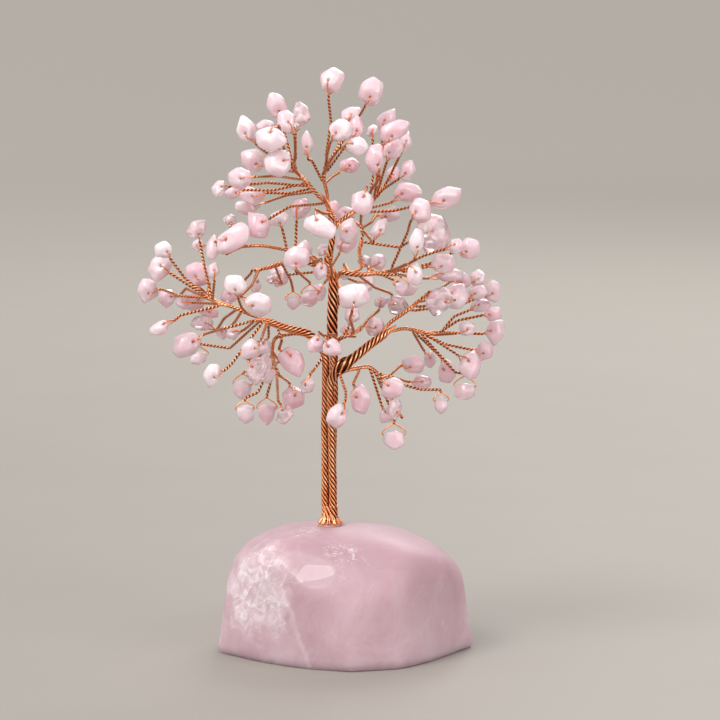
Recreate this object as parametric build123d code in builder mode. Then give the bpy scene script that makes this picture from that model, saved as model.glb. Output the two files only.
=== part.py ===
from build123d import *
import os
from math import atan2, cos, degrees, pi, radians, sin

os.makedirs("parts", exist_ok=True)

# A wire tree ornament: drilled quartz chips threaded on copper wire, all the wires
# gathered into branches and a twisted trunk that is glued into a stone base.
# The origin lies on the resting face, under the trunk's axis, and the viewer stands at -Y.

# Crown, as it is laid out for the viewer. One hundred steps across or up make its radius.
crown_radius = 50.0
crown_half_depth = 28.0
crown_height = 98.4
viewer_distance = 1000.0
viewer_tilt = 8.0
aim_across = 7.5
aim_height = 74.5

# Wire, and the pair of wires twisted together that makes each twig
wire = 0.35
twig_width = 0.62
seat_gap = 0.12
neck_gap = 0.55
neck_clearance = 0.65
leg_clearance = 0.18
bow_from = 11.0
bow_share = 0.05

# Chips: a typical length, and how the others follow from it
chip_length = 5.0
chip_thinnest = 1.9
thick_share = 0.62
face_share = 0.55
bore = 0.7
square_sides = 4
bore_shift_share = 0.14
chip_lean = 24.0
chip_turn = 137.5

# Chips that hang free in an open yoke, and how far they swing each way
pivot_bore = 0.8
bore_sides = 8
hang_shift_share = 0.22
swing = 50.0
pivot_clearance = 0.3

# Trunk: three bundles of wire laid round each other with a long, slow twist
bundle_width = 2.0
bundle_offset = 1.19
bundle_sides = 6
bundle_lift_share = 0.3
bundle_end_share = 0.75
branch_end_share = 0.8
trunk_twist = -62.0
trunk_steps = 6
right_leaves = 70.0
left_leaves = 76.0

# Base: a block of quartz with a sawn underside and a drilled hole for the trunk
base_width = 64.4
base_depth = 53.0
base_height = 32.6
trunk_hole = 5.4
trunk_hole_sides = 12
trunk_hole_depth = 13.0
glue_clearance = 0.03
glue_rise = 0.9
glue_flare = 0.35
foot_gap = 0.5
foot_end_count = 11
foot_end_rise = 2.5
foot_end_splay = 0.9
foot_end_lift = 0.45

crown_step = crown_radius / 100
depth_step = crown_half_depth / 100
toward_viewer = Vector(0, -cos(radians(viewer_tilt)), sin(radians(viewer_tilt)))
seen_up = Vector(0, sin(radians(viewer_tilt)), cos(radians(viewer_tilt)))
seen_right = Vector(1, 0, 0)
bundle_face = seen_up * bundle_lift_share + toward_viewer
down = Vector(0, 0, -1)


def seen(across_share, up_share, out_share):
    """The place that the viewer sees at these steps from the crown's middle, that far out."""
    tilt = radians(viewer_tilt)
    u = across_share * crown_step - aim_across
    v = up_share * crown_step + crown_height - aim_height
    out = out_share * depth_step
    depth = (out + v * sin(tilt)) / (cos(tilt) + v * sin(tilt) / viewer_distance)
    shrink = 1 - depth / viewer_distance
    z = aim_height + v * shrink * cos(tilt) + depth * sin(tilt)
    return Vector(aim_across + u * shrink, -out, z)


def wire_run(points, width):
    """A square-sided run of wire through the points, mitred at each bend."""
    with BuildPart() as run:
        with BuildLine():
            Polyline(*points)
        with BuildSketch(Plane(origin=points[0], z_dir=points[1] - points[0])):
            Rectangle(width, width)
        sweep(transition=Transition.RIGHT)
    return run.part


def thinning(width, end_width, count):
    """The width at each point of a run, which thins as wires leave it on the way."""
    return [width + (end_width - width) * i / (count - 1) for i in range(count)]


def bundle(points, widths):
    """A bundle of wires through the points, as wide at each as its width says."""
    with BuildPart() as run:
        for i, point in enumerate(points):
            ahead = points[min(i + 1, len(points) - 1)] - points[max(i - 1, 0)]
            across = bundle_face - ahead * (bundle_face.dot(ahead) / ahead.dot(ahead))
            with BuildSketch(Plane(origin=point, x_dir=across, z_dir=ahead)):
                RegularPolygon(radius=widths[i] / 2, side_count=bundle_sides)
        loft(ruled=True)
    return run.part


def width_at(points, widths, share):
    """How wide a bundle is at a share of its length."""
    left = share * sum((b - a).length for a, b in zip(points, points[1:]))
    for i, (a, b) in enumerate(zip(points, points[1:])):
        length = (b - a).length
        if left <= length:
            return widths[i] + (widths[i + 1] - widths[i]) * left / length
        left -= length
    return widths[-1]


# Outlines of tumbled chips, as shares of each chip's own length and width
egg_shares = [(-0.5, -0.08), (-0.28, -0.42), (0.18, -0.5), (0.5, -0.1), (0.3, 0.42), (-0.22, 0.5)]
wedge_shares = [(-0.5, -0.2), (0.1, -0.5), (0.5, -0.05), (0.22, 0.5), (-0.38, 0.38)]
drop_shares = [(-0.5, 0.04), (-0.05, -0.5), (0.44, -0.32), (0.5, 0.2), (0.0, 0.5)]
block_shares = [(-0.5, -0.28), (-0.08, -0.5), (0.44, -0.4), (0.5, 0.24), (0.05, 0.5), (-0.42, 0.4)]
shard_shares = [(-0.5, -0.12), (-0.08, -0.5), (0.5, 0.0), (0.12, 0.5), (-0.4, 0.3)]
chip_outline_shares = {
    "egg": egg_shares,
    "wedge": wedge_shares,
    "drop": drop_shares,
    "block": block_shares,
    "shard": shard_shares,
}


def turned(points, angle):
    """The outline's points turned about its bore."""
    c, s = cos(radians(angle)), sin(radians(angle))
    return [(x * c - y * s, x * s + y * c) for x, y in points]


def outline_points(name, length, width, angle, shift):
    """A chip's outline about its bore, turned by the angle, with its middle shifted along X."""
    points = [(x * length, y * width) for x, y in chip_outline_shares[name]]
    return [(x + shift, y) for x, y in turned(points, angle)]


def chip(plane, points, thickness, bore_width, sides):
    """A chip: two blunt pyramids, base to base, drilled through along the plane's normal."""
    layers = ((-thickness / 2, face_share), (0, 1), (thickness / 2, face_share))
    corners = [(x * share, y * share, z) for z, share in layers for x, y in points]
    with BuildPart(plane) as stone:
        ConvexPolyhedron(corners)
        with BuildSketch(plane):
            RegularPolygon(bore_width / 2, sides, major_radius=False)
        extrude(amount=thickness, both=True, mode=Mode.SUBTRACT)
    return stone.part


def leave(branch, share, target, own_width):
    """Where a wire of its own width leaves the side of a branch, heading for the target."""
    path, points, widths = branches[branch]
    middle, along = path @ share, path % share
    width = width_at(points, widths, share)
    sideways = target - middle
    sideways = (sideways - along * sideways.dot(along)).normalized()
    return middle + sideways * (width / 2 + own_width / 2 + seat_gap)


def twig_points(start, bends, neck, along, number):
    """The twig's route, with a slight bow on a long one where no bend is given."""
    if not bends and (neck - start).length > bow_from:
        side = (neck - start).cross(toward_viewer)
        bends = [(start + neck) * 0.5 + side * bow_share * (1 if number % 2 else -1)]
    return [start, *bends, neck - along * neck_clearance]


def threaded_chip(number, row):
    """A chip held in a closed loop of wire at the end of its twig: stone, loop and twig."""
    branch, share, place, length_share, width_share, turn, outline, *bends = row
    centre = seen(*place)
    length, width = length_share * chip_length, width_share * chip_length
    thickness = max(width * thick_share, chip_thinnest)
    bends = [seen(*bend) for bend in bends]
    origin = bends[-1] if bends else branches[branch][0] @ share
    heading = (centre - origin).normalized()
    lean, way = radians(chip_lean), radians(number * chip_turn)
    across = seen_right * cos(way) + seen_up * sin(way)
    bore_axis = toward_viewer * cos(lean) + across * sin(lean)
    along = (heading - bore_axis * heading.dot(bore_axis)).normalized()
    picture_angle = degrees(atan2(along.dot(seen_up), along.dot(seen_right)))
    shift = bore_shift_share * length
    plane = Plane(origin=centre - along * shift, x_dir=along, z_dir=bore_axis)
    points = outline_points(outline, length, width, turn - picture_angle, shift)
    reach = -min(x for x, y in points)
    neck_reach = reach + neck_gap
    half = (thickness / 2 + wire / 2 + leg_clearance) / (1 - reach * face_share / neck_reach)
    hole = plane.origin
    neck = hole - along * neck_reach
    loop = [
        neck + bore_axis * (wire / 2),
        hole + bore_axis * half,
        hole - bore_axis * half,
        neck - bore_axis * (wire / 2),
    ]
    start = leave(branch, share, bends[0] if bends else neck, twig_width)
    stem = twig_points(start, bends, neck, along, number)
    stone = chip(plane, points, thickness, bore, square_sides)
    return stone, wire_run(loop, wire), wire_run(stem, twig_width)


def hanging_chip(number, row):
    """A chip that swings in an open yoke: stone, yoke, twig, and where and about what it turns."""
    branch, share, place, length_share, width_share, bore_turn, outline, *bends = row
    length, thickness = length_share * chip_length, width_share * chip_length
    bends = [seen(*bend) for bend in bends]
    bore_axis = Vector(cos(radians(bore_turn)), sin(radians(bore_turn)), 0)
    shift = hang_shift_share * length
    plane = Plane(origin=seen(*place) - down * shift, x_dir=down, z_dir=bore_axis)
    points = outline_points(outline, length, thickness, 0, shift)
    swung = [turned(points, angle) for angle in (-swing, -swing / 2, 0, swing / 2, swing)]
    reach = -min(x for turn in swung for x, y in turn)
    half = thickness / 2 + wire / 2 + pivot_clearance
    hole = plane.origin
    shoulder = hole - down * (reach + pivot_clearance) * face_share
    neck = hole - down * (reach + neck_gap + pivot_clearance)
    yoke = [
        neck + bore_axis * (wire / 2),
        shoulder + bore_axis * half,
        hole + bore_axis * half,
        hole - bore_axis * half,
        shoulder - bore_axis * half,
        neck - bore_axis * (wire / 2),
    ]
    start = leave(branch, share, bends[0] if bends else neck, twig_width)
    stem = twig_points(start, bends, neck, down, number)
    stone = chip(plane, points, thickness, pivot_bore, bore_sides)
    return stone, wire_run(yoke, wire), wire_run(stem, twig_width), (hole, bore_axis)


# Base stone: its outlines from above, from the front and from the side, as shares of its sizes
plan_shares = [
    (-0.44, -0.02), (-0.31, -0.19), (-0.19, -0.31), (-0.1, -0.38), (0.08, -0.455), (0.27, -0.39),
    (0.39, -0.23), (0.45, -0.11), (0.56, 0.11), (0.52, 0.3), (0.36, 0.46), (0.1, 0.54),
    (-0.16, 0.5), (-0.35, 0.36), (-0.43, 0.16),
]
front_shares = [
    (-0.44, 0.0), (-0.412, 0.42), (-0.39, 0.68), (-0.33, 0.82), (-0.2, 0.95), (-0.06, 1.0),
    (0.1, 1.0), (0.27, 0.92), (0.42, 0.8), (0.52, 0.62), (0.535, 0.32), (0.56, 0.18), (0.56, 0.0),
]
side_shares = [
    (-0.455, 0.0), (-0.47, 0.24), (-0.43, 0.55), (-0.33, 0.8), (-0.2, 0.95), (-0.09, 1.0),
    (0.14, 1.0), (0.37, 0.87), (0.49, 0.66), (0.54, 0.3), (0.53, 0.0),
]
# Chips struck off its upper edge: where each cut passes, as shares, and the way it faces
facet_shares = [
    (-0.1, -0.4, 0.68, -96, 34), (-0.36, -0.14, 0.74, -158, 32), (0.4, -0.2, 0.7, -38, 30),
    (0.36, 0.34, 0.72, 48, 34), (-0.3, 0.32, 0.74, 132, 36),
]

with BuildPart() as base_stone:
    with BuildSketch():
        with BuildLine():
            Polyline(*[(x * base_width, y * base_depth) for x, y in plan_shares], close=True)
        make_face()
    extrude(amount=base_height)
    with BuildSketch(Plane.XZ.offset(-base_depth)):
        with BuildLine():
            Polyline(*[(x * base_width, z * base_height) for x, z in front_shares], close=True)
        make_face()
    extrude(amount=2 * base_depth, mode=Mode.INTERSECT)
    with BuildSketch(Plane.YZ.offset(-base_width)):
        with BuildLine():
            Polyline(*[(y * base_depth, z * base_height) for y, z in side_shares], close=True)
        make_face()
    extrude(amount=2 * base_width, mode=Mode.INTERSECT)
    for x, y, z, azimuth, rise in facet_shares:
        facing = Vector(cos(radians(azimuth)), sin(radians(azimuth)), 0) * cos(radians(rise))
        facing = facing + Vector(0, 0, sin(radians(rise)))
        place = Vector(x * base_width, y * base_depth, z * base_height)
        split(bisect_by=Plane(origin=place, z_dir=facing), keep=Keep.BOTTOM)
    with BuildSketch(Plane.XY.offset(base_height)):
        RegularPolygon(trunk_hole / 2, trunk_hole_sides)
    extrude(amount=-trunk_hole_depth, mode=Mode.SUBTRACT)
base_stone.part.label = "base_stone"
export_step(base_stone.part, "parts/base_stone.step")

# Trunk bundles: each starts in the hole, follows the twist and then leaves along its branch,
# where it is wider by a share, as its wires are no longer pressed against the other bundles
foot = base_height - trunk_hole_depth + foot_gap
bundle_routes = {
    "bundle_right": (-30, right_leaves, 1.25, [
        (5, -51.5, 8), (12.5, -46.5, 4), (20, -40, -6), (26.5, -35.5, -12), (35, -29, -16)]),
    "bundle_left": (-150, left_leaves, 1.05, [
        (-10, -34.5, 6), (-23.5, -31.5, 16), (-34, -27, 26), (-40, -28.5, 30)]),
    "bundle_leader": (90, left_leaves, 1.45, [(1, -32.5, 0), (1.5, -14, 0), (2, 1.5, 0)]),
}
branches = {}
strands = []
for name, (angle, top, loose_share, route) in bundle_routes.items():
    points = []
    for step in range(trunk_steps + 1):
        rise = (top - foot) * step / trunk_steps
        turn = radians(angle + trunk_twist * rise / (left_leaves - foot))
        points.append(Vector(bundle_offset * cos(turn), bundle_offset * sin(turn), foot + rise))
    points += [seen(*place) for place in route]
    loose_width = bundle_width * loose_share
    widths = [bundle_width] * (trunk_steps + 1)
    widths += thinning(loose_width, loose_width * bundle_end_share, len(route))
    strand = bundle(points, widths)
    strand.label = name
    export_step(strand, f"parts/{name}.step")
    strands.append(strand)
    branches[name] = (Polyline(*points), points, widths)

# Adhesive that fills the hole round the bundles and stands proud of the stone in a bead
with BuildPart() as adhesive:
    with BuildSketch(Plane.XY.offset(base_height)):
        RegularPolygon(trunk_hole / 2 - glue_clearance, trunk_hole_sides)
    extrude(amount=-trunk_hole_depth)
    with BuildSketch(Plane.XY.offset(base_height)):
        RegularPolygon(trunk_hole / 2 + glue_flare, trunk_hole_sides)
    with BuildSketch(Plane.XY.offset(base_height + glue_rise)):
        RegularPolygon(bundle_offset + bundle_width / 2, trunk_hole_sides)
    loft()
    add(strands, mode=Mode.SUBTRACT)
adhesive.part.label = "adhesive"
export_step(adhesive.part, "parts/adhesive.step")

# Cut ends of the outer wires, bent out over the bead at the foot of the trunk
foot_ends = []
for i in range(foot_end_count):
    turn = 2 * pi * i / foot_end_count
    outward = Vector(cos(turn), sin(turn), 0)
    inner = bundle_offset + bundle_width / 2 + twig_width / 2 + seat_gap
    top = outward * inner + Vector(0, 0, base_height + foot_end_rise)
    tip = outward * (inner + foot_end_splay) + Vector(0, 0, base_height + foot_end_lift)
    foot_ends.append(wire_run([top, tip], twig_width))
foot_wires = Compound(label="foot_wires", children=foot_ends)
export_step(foot_wires, "parts/foot_wires.step")

# Branches: the one each leaves, where on it, its width and its seen route
branch_width = 1.2
branch_routes = {
    "branch_crown": ("bundle_leader", 1.0, 1.4, [
        (1.5, 11, 0), (0.5, 25, 0), (-2, 32.5, 0), (-6, 37.5, 0)]),
    "branch_crown_top": ("branch_crown", 0.9, 0.8, [(-4, 45, 5), (-0.5, 52.5, 8)]),
    "branch_top_left": ("branch_crown", 0.97, 1.0, [
        (-12, 42, 4), (-17, 45.5, 4), (-18.5, 52, 0)]),
    "branch_upper_right": ("branch_crown", 0.5, 1.0, [
        (10, 25.5, -14), (18, 29, -20), (23, 32.5, -20), (26, 38, -16)]),
    "branch_mid_left": ("bundle_leader", 0.97, 1.15, [
        (-11, 1.5, 8), (-22.5, 1, 0), (-33.5, -2.5, -8), (-40, -2.5, -8)]),
    "branch_left_upper": ("branch_mid_left", 0.25, 0.8, [
        (-20, 7, 14), (-34, 9.5, 6), (-45, 9, 4), (-52, 4.5, 4)]),
    "branch_mid_right": ("bundle_leader", 0.97, 1.15, [
        (7, -4, 8), (13, -5.5, 12), (22, -4.5, 12), (32, -3.5, 12), (36, -2, 12)]),
    "branch_right_inner": ("branch_mid_right", 0.4, 0.8, [
        (14, 7.5, 8), (17, 14.5, 4), (15, 21, 0)]),
    "branch_right_upper": ("bundle_right", 0.97, 0.9, [
        (39, -23, -20), (46.5, -16, -24), (50, -13, -24)]),
    "branch_right_outer": ("bundle_right", 0.99, 0.9, [
        (40, -32, -24), (47.5, -34, -32), (55, -36, -38)]),
    "branch_right_low": ("bundle_right", 0.74, 0.9, [
        (20, -50.5, -12), (24, -55, -20), (32, -56.5, -24)]),
    "branch_centre": ("bundle_leader", 0.74, 0.9, [
        (5, -36.5, 18), (10, -35.5, 20), (17, -32, 12)]),
    "branch_far_left": ("bundle_left", 0.99, 0.9, [
        (-44, -23, 28), (-49, -21, 24), (-59, -18.5, 16), (-65, -14.5, 12)]),
    "branch_left_low": ("bundle_left", 0.82, 0.9, [
        (-27.5, -36, -8), (-29, -41, -18), (-28.5, -48, -24), (-25, -57, -20)]),
    "branch_rear": ("bundle_leader", 0.86, 1.0, [(5.5, -14, -10), (3, -8, -36), (-2, 0, -58)]),
}
for name, (parent, share, size_share, route) in branch_routes.items():
    width = size_share * branch_width
    points = [seen(*place) for place in route]
    points.insert(0, leave(parent, share, points[0], width))
    branch = bundle(points, thinning(width, width * branch_end_share, len(points)))
    branch.label = name
    export_step(branch, f"parts/{name}.step")
    branches[name] = (Polyline(*points), points, [width] * len(points))

# Threaded chips by spray. Each row has the branch and the share of it where the twig
# leaves, the chip's seen place, its length and width as shares of a typical chip, the turn
# of its long axis, its outline, and any bends of the twig on the way.
spray_shares = {
    "crown": [
        ("branch_crown_top", 0.99, (1, 92.5, 16), 1.5, 1.3, 90, "wedge", (0.5, 71.5, 12)),
        ("branch_crown_top", 0.9, (20.5, 87, 8), 1.55, 1.2, 85, "egg", (13.5, 72, -14)),
        ("branch_crown_top", 0.75, (10.5, 75, -30), 1.05, 0.8, 20, "block"),
        ("branch_crown_top", 0.83, (5.5, 67, 48), 1.2, 1.1, 45, "egg"),
        ("branch_crown_top", 0.66, (13.5, 69, 18), 1.4, 0.7, 85, "shard"),
        ("branch_crown_top", 0.57, (13, 59, 46), 1.1, 1.0, 0, "wedge"),
        ("branch_crown_top", 0.38, (-11.5, 61, 38), 1.3, 0.6, 90, "shard", (-9, 52, 20)),
        ("branch_crown_top", 0.25, (10, 49.5, -52), 1.1, 0.75, 15, "wedge"),
    ],
    "top_left": [
        ("branch_top_left", 0.98, (-15.5, 74, -2), 1.35, 1.1, 80, "drop"),
        ("branch_top_left", 0.93, (-26.5, 79.5, 0), 1.35, 0.95, 100, "block"),
        ("branch_top_left", 0.88, (-22, 71.5, 30), 1.35, 0.85, 95, "egg"),
        ("branch_top_left", 0.8, (-42, 67.5, 32), 1.3, 1.1, 110, "wedge"),
        ("branch_top_left", 0.84, (-33, 69, -40), 1.0, 0.8, 0, "drop"),
        ("branch_top_left", 0.7, (-30, 62.5, 56), 1.55, 1.3, 160, "egg", (-23, 58, 24)),
        ("branch_top_left", 0.74, (-38.5, 52, 4), 1.3, 1.2, 150, "wedge"),
        ("branch_top_left", 0.6, (-26.5, 50.5, 50), 1.5, 1.25, 80, "block"),
        ("branch_top_left", 0.5, (-45, 42.5, 48), 1.35, 1.05, 165, "egg"),
        ("branch_top_left", 0.4, (-48.5, 36, 10), 0.75, 0.7, 45, "wedge"),
        ("branch_top_left", 0.3, (-55.5, 37.5, 44), 1.0, 0.7, 80, "drop"),
        ("branch_top_left", 0.2, (-40, 34.5, -14), 1.5, 0.85, 170, "egg"),
        ("branch_top_left", 0.1, (-40, 29, -30), 1.4, 0.8, 10, "shard"),
    ],
    "upper_right": [
        ("branch_upper_right", 0.9, (28.5, 72.5, -18), 1.05, 0.85, 30, "block"),
        ("branch_upper_right", 0.8, (32, 67, 26), 1.7, 0.85, 30, "egg", (26, 57, 28)),
        ("branch_upper_right", 0.99, (38, 62, -4), 1.1, 0.7, 75, "shard", (31, 46, -14)),
        ("branch_upper_right", 0.94, (31.5, 57.5, 8), 1.2, 1.0, 20, "wedge"),
        ("branch_upper_right", 0.62, (22, 52, 46), 1.5, 1.0, 90, "drop"),
        ("branch_upper_right", 0.7, (21.5, 67, -50), 0.7, 0.6, 90, "wedge"),
        ("branch_upper_right", 0.68, (39, 47.5, 14), 1.15, 0.75, 70, "wedge"),
        ("branch_upper_right", 0.86, (31.5, 45, -48), 0.95, 0.75, 60, "drop"),
        ("branch_upper_right", 0.55, (39, 36, -36), 1.65, 0.95, 5, "egg"),
        ("branch_upper_right", 0.4, (58, 33.5, 0), 1.6, 1.1, 10, "block"),
    ],
    "mid_right": [
        ("branch_right_inner", 0.98, (16, 30.5, 62), 1.45, 1.0, 90, "egg"),
        ("branch_right_inner", 0.9, (30, 24.5, -40), 1.05, 0.85, 0, "wedge"),
        ("branch_right_inner", 0.78, (25, 18.5, 30), 1.2, 0.65, 50, "shard"),
        ("branch_right_inner", 0.94, (7.5, 25.5, -42), 1.0, 0.7, 0, "drop"),
        ("branch_crown", 0.85, (9.5, 16.5, 56), 1.3, 1.0, 85, "wedge", (0.5, 27.5, 44)),
        ("branch_right_inner", 0.6, (52, 15, 6), 2.0, 1.7, 100, "block", (35, 8.5, 0)),
        ("branch_mid_right", 0.84, (45.5, 27.5, 46), 1.3, 1.15, 120, "wedge", (39, 16.5, 28)),
        ("branch_mid_right", 0.9, (43, 11, 58), 1.35, 0.75, 80, "drop"),
        ("branch_mid_right", 0.97, (63.5, 9, 28), 0.9, 0.7, 70, "wedge"),
        ("branch_mid_right", 0.93, (70, 7.5, -4), 1.1, 0.95, 80, "block"),
        ("branch_mid_right", 0.79, (42.5, -6, 52), 1.2, 0.8, 85, "egg"),
        ("branch_mid_right", 0.7, (40, -12.5, 2), 0.9, 0.8, 20, "wedge"),
        ("branch_mid_right", 0.99, (57, 0.5, 16), 1.4, 0.85, 5, "egg"),
        ("branch_mid_right", 0.87, (58, -5, -34), 1.55, 0.75, 0, "drop"),
    ],
    "right_upper": [
        ("branch_right_upper", 0.9, (54, -18.5, 30), 1.5, 1.3, 70, "egg"),
        ("branch_right_upper", 0.99, (63, -16.5, 2), 1.5, 0.95, 95, "block"),
        ("branch_right_upper", 0.82, (67, -8, -46), 0.85, 0.8, 30, "wedge", (56, -11.5, -34)),
        ("branch_right_upper", 0.72, (74, -7.5, -64), 1.0, 0.9, 60, "drop", (60, -15, -58)),
        ("branch_right_upper", 0.6, (74.5, -14, -22), 1.1, 0.75, 0, "shard", (64, -19, -18)),
        ("branch_right_upper", 0.5, (81.5, -13, -44), 1.1, 0.9, 80, "block", (66, -20, -40)),
    ],
    "right_outer": [
        ("branch_right_outer", 0.99, (75.5, -20.5, -50), 1.1, 0.65, 0, "egg", (62, -26, -44)),
        ("branch_right_outer", 0.93, (81.5, -24.5, -22), 0.85, 0.8, 45, "wedge", (64, -28, -30)),
        ("branch_right_outer", 0.87, (68.5, -32.5, -4), 0.85, 0.75, 10, "block"),
        ("branch_right_outer", 0.79, (83, -34, -58), 1.35, 1.0, 90, "drop", (60, -34, -56)),
        ("branch_right_outer", 0.71, (77.5, -43.5, -46), 1.0, 0.95, 45, "wedge", (58, -40, -46)),
        ("branch_right_outer", 0.63, (70, -50.5, -18), 1.6, 1.05, 80, "egg"),
        ("branch_right_outer", 0.46, (58.5, -54, -44), 1.2, 0.85, 80, "block"),
        ("branch_right_outer", 0.38, (50, -47.5, -56), 1.0, 0.65, 90, "shard"),
    ],
    "right_low": [
        ("branch_right_low", 0.95, (42, -50, -44), 1.1, 1.0, 20, "wedge"),
        ("branch_right_low", 0.99, (46.5, -59, -54), 1.15, 0.65, 0, "egg"),
        ("branch_right_low", 0.84, (31.5, -62, 12), 1.15, 1.0, 0, "block"),
        ("branch_right_low", 0.6, (32.5, -72, 18), 1.1, 0.7, 80, "egg", (33, -71, -10)),
        ("branch_right_low", 0.5, (28, -76, -4), 0.9, 0.7, 60, "drop"),
        ("branch_right_low", 0.25, (15.5, -67.5, 20), 1.5, 1.0, 90, "wedge"),
    ],
    "centre": [
        ("branch_centre", 0.7, (12.5, -15.5, 80), 1.4, 1.3, 20, "block", (10, -27, 50)),
        ("branch_centre", 0.5, (11, -25.5, 12), 1.0, 0.8, 60, "wedge"),
        ("branch_centre", 0.35, (8, -33, -26), 0.7, 0.6, 0, "drop"),
        ("branch_centre", 0.8, (23, -31, -18), 1.0, 0.9, 0, "egg"),
        ("branch_centre", 0.97, (26, -18.5, -46), 0.8, 0.65, 20, "shard"),
        ("branch_mid_right", 0.35, (33.5, -20.5, -36), 1.1, 0.95, 30, "block"),
        ("branch_mid_right", 0.6, (24.5, 1, -50), 0.9, 0.85, 0, "wedge"),
        ("branch_mid_right", 0.45, (17, 1.5, -24), 0.7, 0.65, 0, "drop"),
        ("branch_mid_right", 0.2, (7, -5, -48), 0.7, 0.65, 0, "wedge"),
        ("branch_centre", 0.12, (-7, -40, 56), 0.95, 0.85, 30, "wedge", (-5.5, -34, 40)),
        ("branch_centre", 0.25, (1, -42, 64), 1.05, 0.9, 150, "egg", (2.5, -35, 44)),
        ("bundle_right", 0.72, (4, -75.5, 40), 1.15, 1.0, 60, "block", (8, -64, 30)),
    ],
    "mid_left": [
        ("branch_left_upper", 0.2, (-15.5, 28.5, 4), 1.15, 1.05, 60, "egg"),
        ("branch_left_upper", 0.3, (-25, 23, 16), 1.05, 0.85, 20, "wedge"),
        ("branch_crown", 0.8, (-36.5, 19.5, 36), 1.25, 1.1, 100, "block", (-20, 29, 32)),
        ("branch_left_upper", 0.75, (-48, 12.5, 46), 2.1, 1.05, 40, "egg"),
        ("branch_left_upper", 0.85, (-50, 22.5, -24), 0.7, 0.65, 0, "drop"),
        ("branch_left_upper", 0.99, (-58.5, 9, 10), 1.4, 0.7, 85, "shard"),
        ("branch_left_upper", 0.92, (-66.5, 9.5, -42), 0.7, 0.65, 0, "wedge"),
        ("bundle_leader", 0.95, (-4, 7, 40), 0.7, 0.6, 60, "drop"),
        ("branch_crown", 0.65, (-5, 18.5, 66), 2.0, 1.0, -40, "egg"),
    ],
    "left_inner": [
        ("branch_mid_left", 0.4, (-17, 3.5, 64), 1.35, 1.1, 10, "block"),
        ("branch_mid_left", 0.2, (-5, -4, 48), 0.95, 0.7, 80, "drop"),
        ("branch_mid_left", 0.98, (-50, -15.5, -26), 1.05, 0.9, 60, "wedge"),
        ("branch_mid_left", 0.8, (-37, -9.5, -36), 0.8, 0.6, 90, "shard"),
        ("branch_mid_left", 0.7, (-29, -7.5, -36), 0.7, 0.6, 0, "drop"),
        ("branch_mid_left", 0.9, (-36, -20, 62), 1.45, 1.3, 40, "egg"),
    ],
    "far_left": [
        ("branch_far_left", 0.8, (-66, 17.5, 8), 1.05, 0.85, 60, "wedge", (-63, 0, 12)),
        ("branch_far_left", 0.75, (-58, -2.5, 24), 0.9, 0.6, 80, "shard"),
        ("branch_far_left", 0.9, (-67, -4.5, -26), 1.35, 1.2, 30, "egg"),
        ("branch_far_left", 0.96, (-83, 7.5, 16), 0.9, 0.85, 20, "wedge", (-72.5, -7, 12)),
        ("branch_far_left", 0.99, (-85, -1, -6), 1.4, 1.1, 60, "block"),
        ("branch_far_left", 0.93, (-92, -13.5, -24), 1.3, 1.1, 80, "drop"),
        ("branch_far_left", 0.86, (-81.5, -17, -40), 1.05, 0.8, 70, "egg", (-72, -12, -20)),
        ("branch_far_left", 0.65, (-73.5, -19, -12), 0.75, 0.7, 0, "wedge"),
        ("branch_far_left", 0.7, (-67, -18.5, -34), 1.1, 1.0, 0, "block"),
        ("branch_far_left", 0.6, (-84.5, -31.5, 24), 1.25, 0.7, 25, "shard", (-75, -25.5, 22)),
        ("branch_far_left", 0.55, (-61, -24, -36), 1.0, 0.65, 0, "drop"),
    ],
    "lower_left": [
        ("bundle_left", 0.995, (-72, -40, 8), 1.8, 1.1, 25, "egg", (-52.5, -32, 22)),
        ("bundle_left", 0.982, (-48.5, -34.5, 6), 0.7, 0.65, 0, "wedge"),
        ("bundle_left", 0.965, (-59.5, -56, 46), 1.25, 0.85, 80, "drop", (-49, -49.5, 40)),
        ("branch_far_left", 0.3, (-64, -29.5, -30), 1.25, 0.75, 5, "egg"),
        ("branch_far_left", 0.2, (-54, -34, -46), 0.75, 0.65, 0, "wedge"),
        ("bundle_left", 0.945, (-39.5, -42.5, 54), 1.0, 0.95, 30, "wedge"),
        ("bundle_left", 0.925, (-33.5, -41.5, 20), 0.85, 0.7, 60, "drop"),
        ("branch_far_left", 0.1, (-47, -10, 58), 1.15, 1.05, 0, "wedge", (-44, -22, 46)),
    ],
    "left_low": [
        ("branch_left_low", 0.5, (-36.5, -53, 42), 1.45, 0.95, 80, "egg", (-37.5, -47.5, 14)),
        ("branch_left_low", 0.6, (-31, -52.5, 10), 1.6, 0.7, 90, "shard"),
        ("bundle_left", 0.9, (-18.5, -48.5, 14), 1.5, 1.05, -35, "block", (-24, -38, 28)),
        ("bundle_left", 0.7, (-12, -61, 14), 0.95, 0.7, 60, "drop", (-7.5, -52, 8)),
        ("branch_left_low", 0.98, (-18.5, -67, -2), 1.25, 1.1, 40, "egg"),
        ("branch_left_low", 0.92, (-22.5, -75, 18), 1.0, 0.8, 70, "wedge", (-26, -68, 14)),
    ],
    "rear": [
        ("branch_rear", 0.98, (-14, 6, -80), 1.2, 1.0, 30, "egg"),
        ("branch_rear", 0.94, (8, 12, -84), 1.3, 1.0, 70, "block"),
        ("branch_rear", 0.8, (-6, -14, -88), 1.1, 0.9, 10, "wedge"),
        ("branch_rear", 0.85, (18, -10, -76), 1.2, 0.9, 50, "drop"),
        ("branch_rear", 0.88, (-26, -6, -66), 1.2, 1.0, 120, "block"),
        ("branch_rear", 0.9, (2, 26, -72), 1.3, 1.0, 90, "egg"),
    ],
}
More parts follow.
